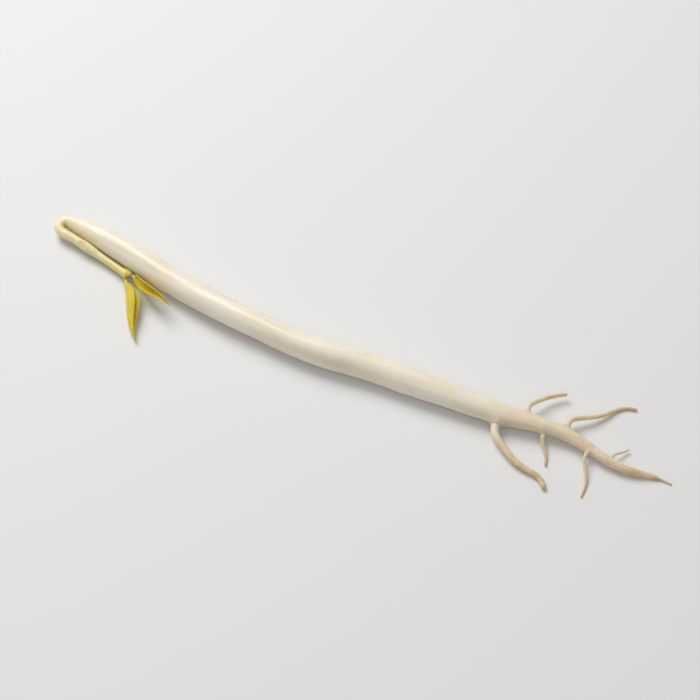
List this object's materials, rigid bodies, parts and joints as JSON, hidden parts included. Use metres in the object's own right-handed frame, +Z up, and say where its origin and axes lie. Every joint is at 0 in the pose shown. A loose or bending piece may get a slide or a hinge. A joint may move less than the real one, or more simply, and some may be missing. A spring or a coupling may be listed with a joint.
{
  "type": "mung bean sprout",
  "caption": "Fresh mung bean sprout lying down: thick pale stem with a hooked neck, thin stalk with two folded yellow leaves and a bud, tapering root with side rootlets.",
  "frame": {"origin": "middle of the footprint, on the surface that the sprout lies on", "axes": "+X from the hooked head towards the root tip, +Y to the side away from the leaves, +Z up"},
  "size_m": [0.0834, 0.0212, 0.0035],
  "materials": {
    "stem_flesh": "satin",
    "root_skin": "satin",
    "rootlet_skin": "satin",
    "epicotyl_skin": "satin",
    "leaf_blade": "satin",
    "bud_scales": "satin"
  },
  "bodies": {
    "root": {"stem": "stem_flesh", "taproot": "root_skin", "rootlet_1": "rootlet_skin", "rootlet_2": "rootlet_skin", "rootlet_3": "rootlet_skin", "rootlet_4": "rootlet_skin", "rootlet_5": "rootlet_skin", "rootlet_6": "rootlet_skin", "epicotyl": "epicotyl_skin", "leaf_front": "leaf_blade", "leaf_back": "leaf_blade", "terminal_bud": "bud_scales"}
  },
  "joints": []
}
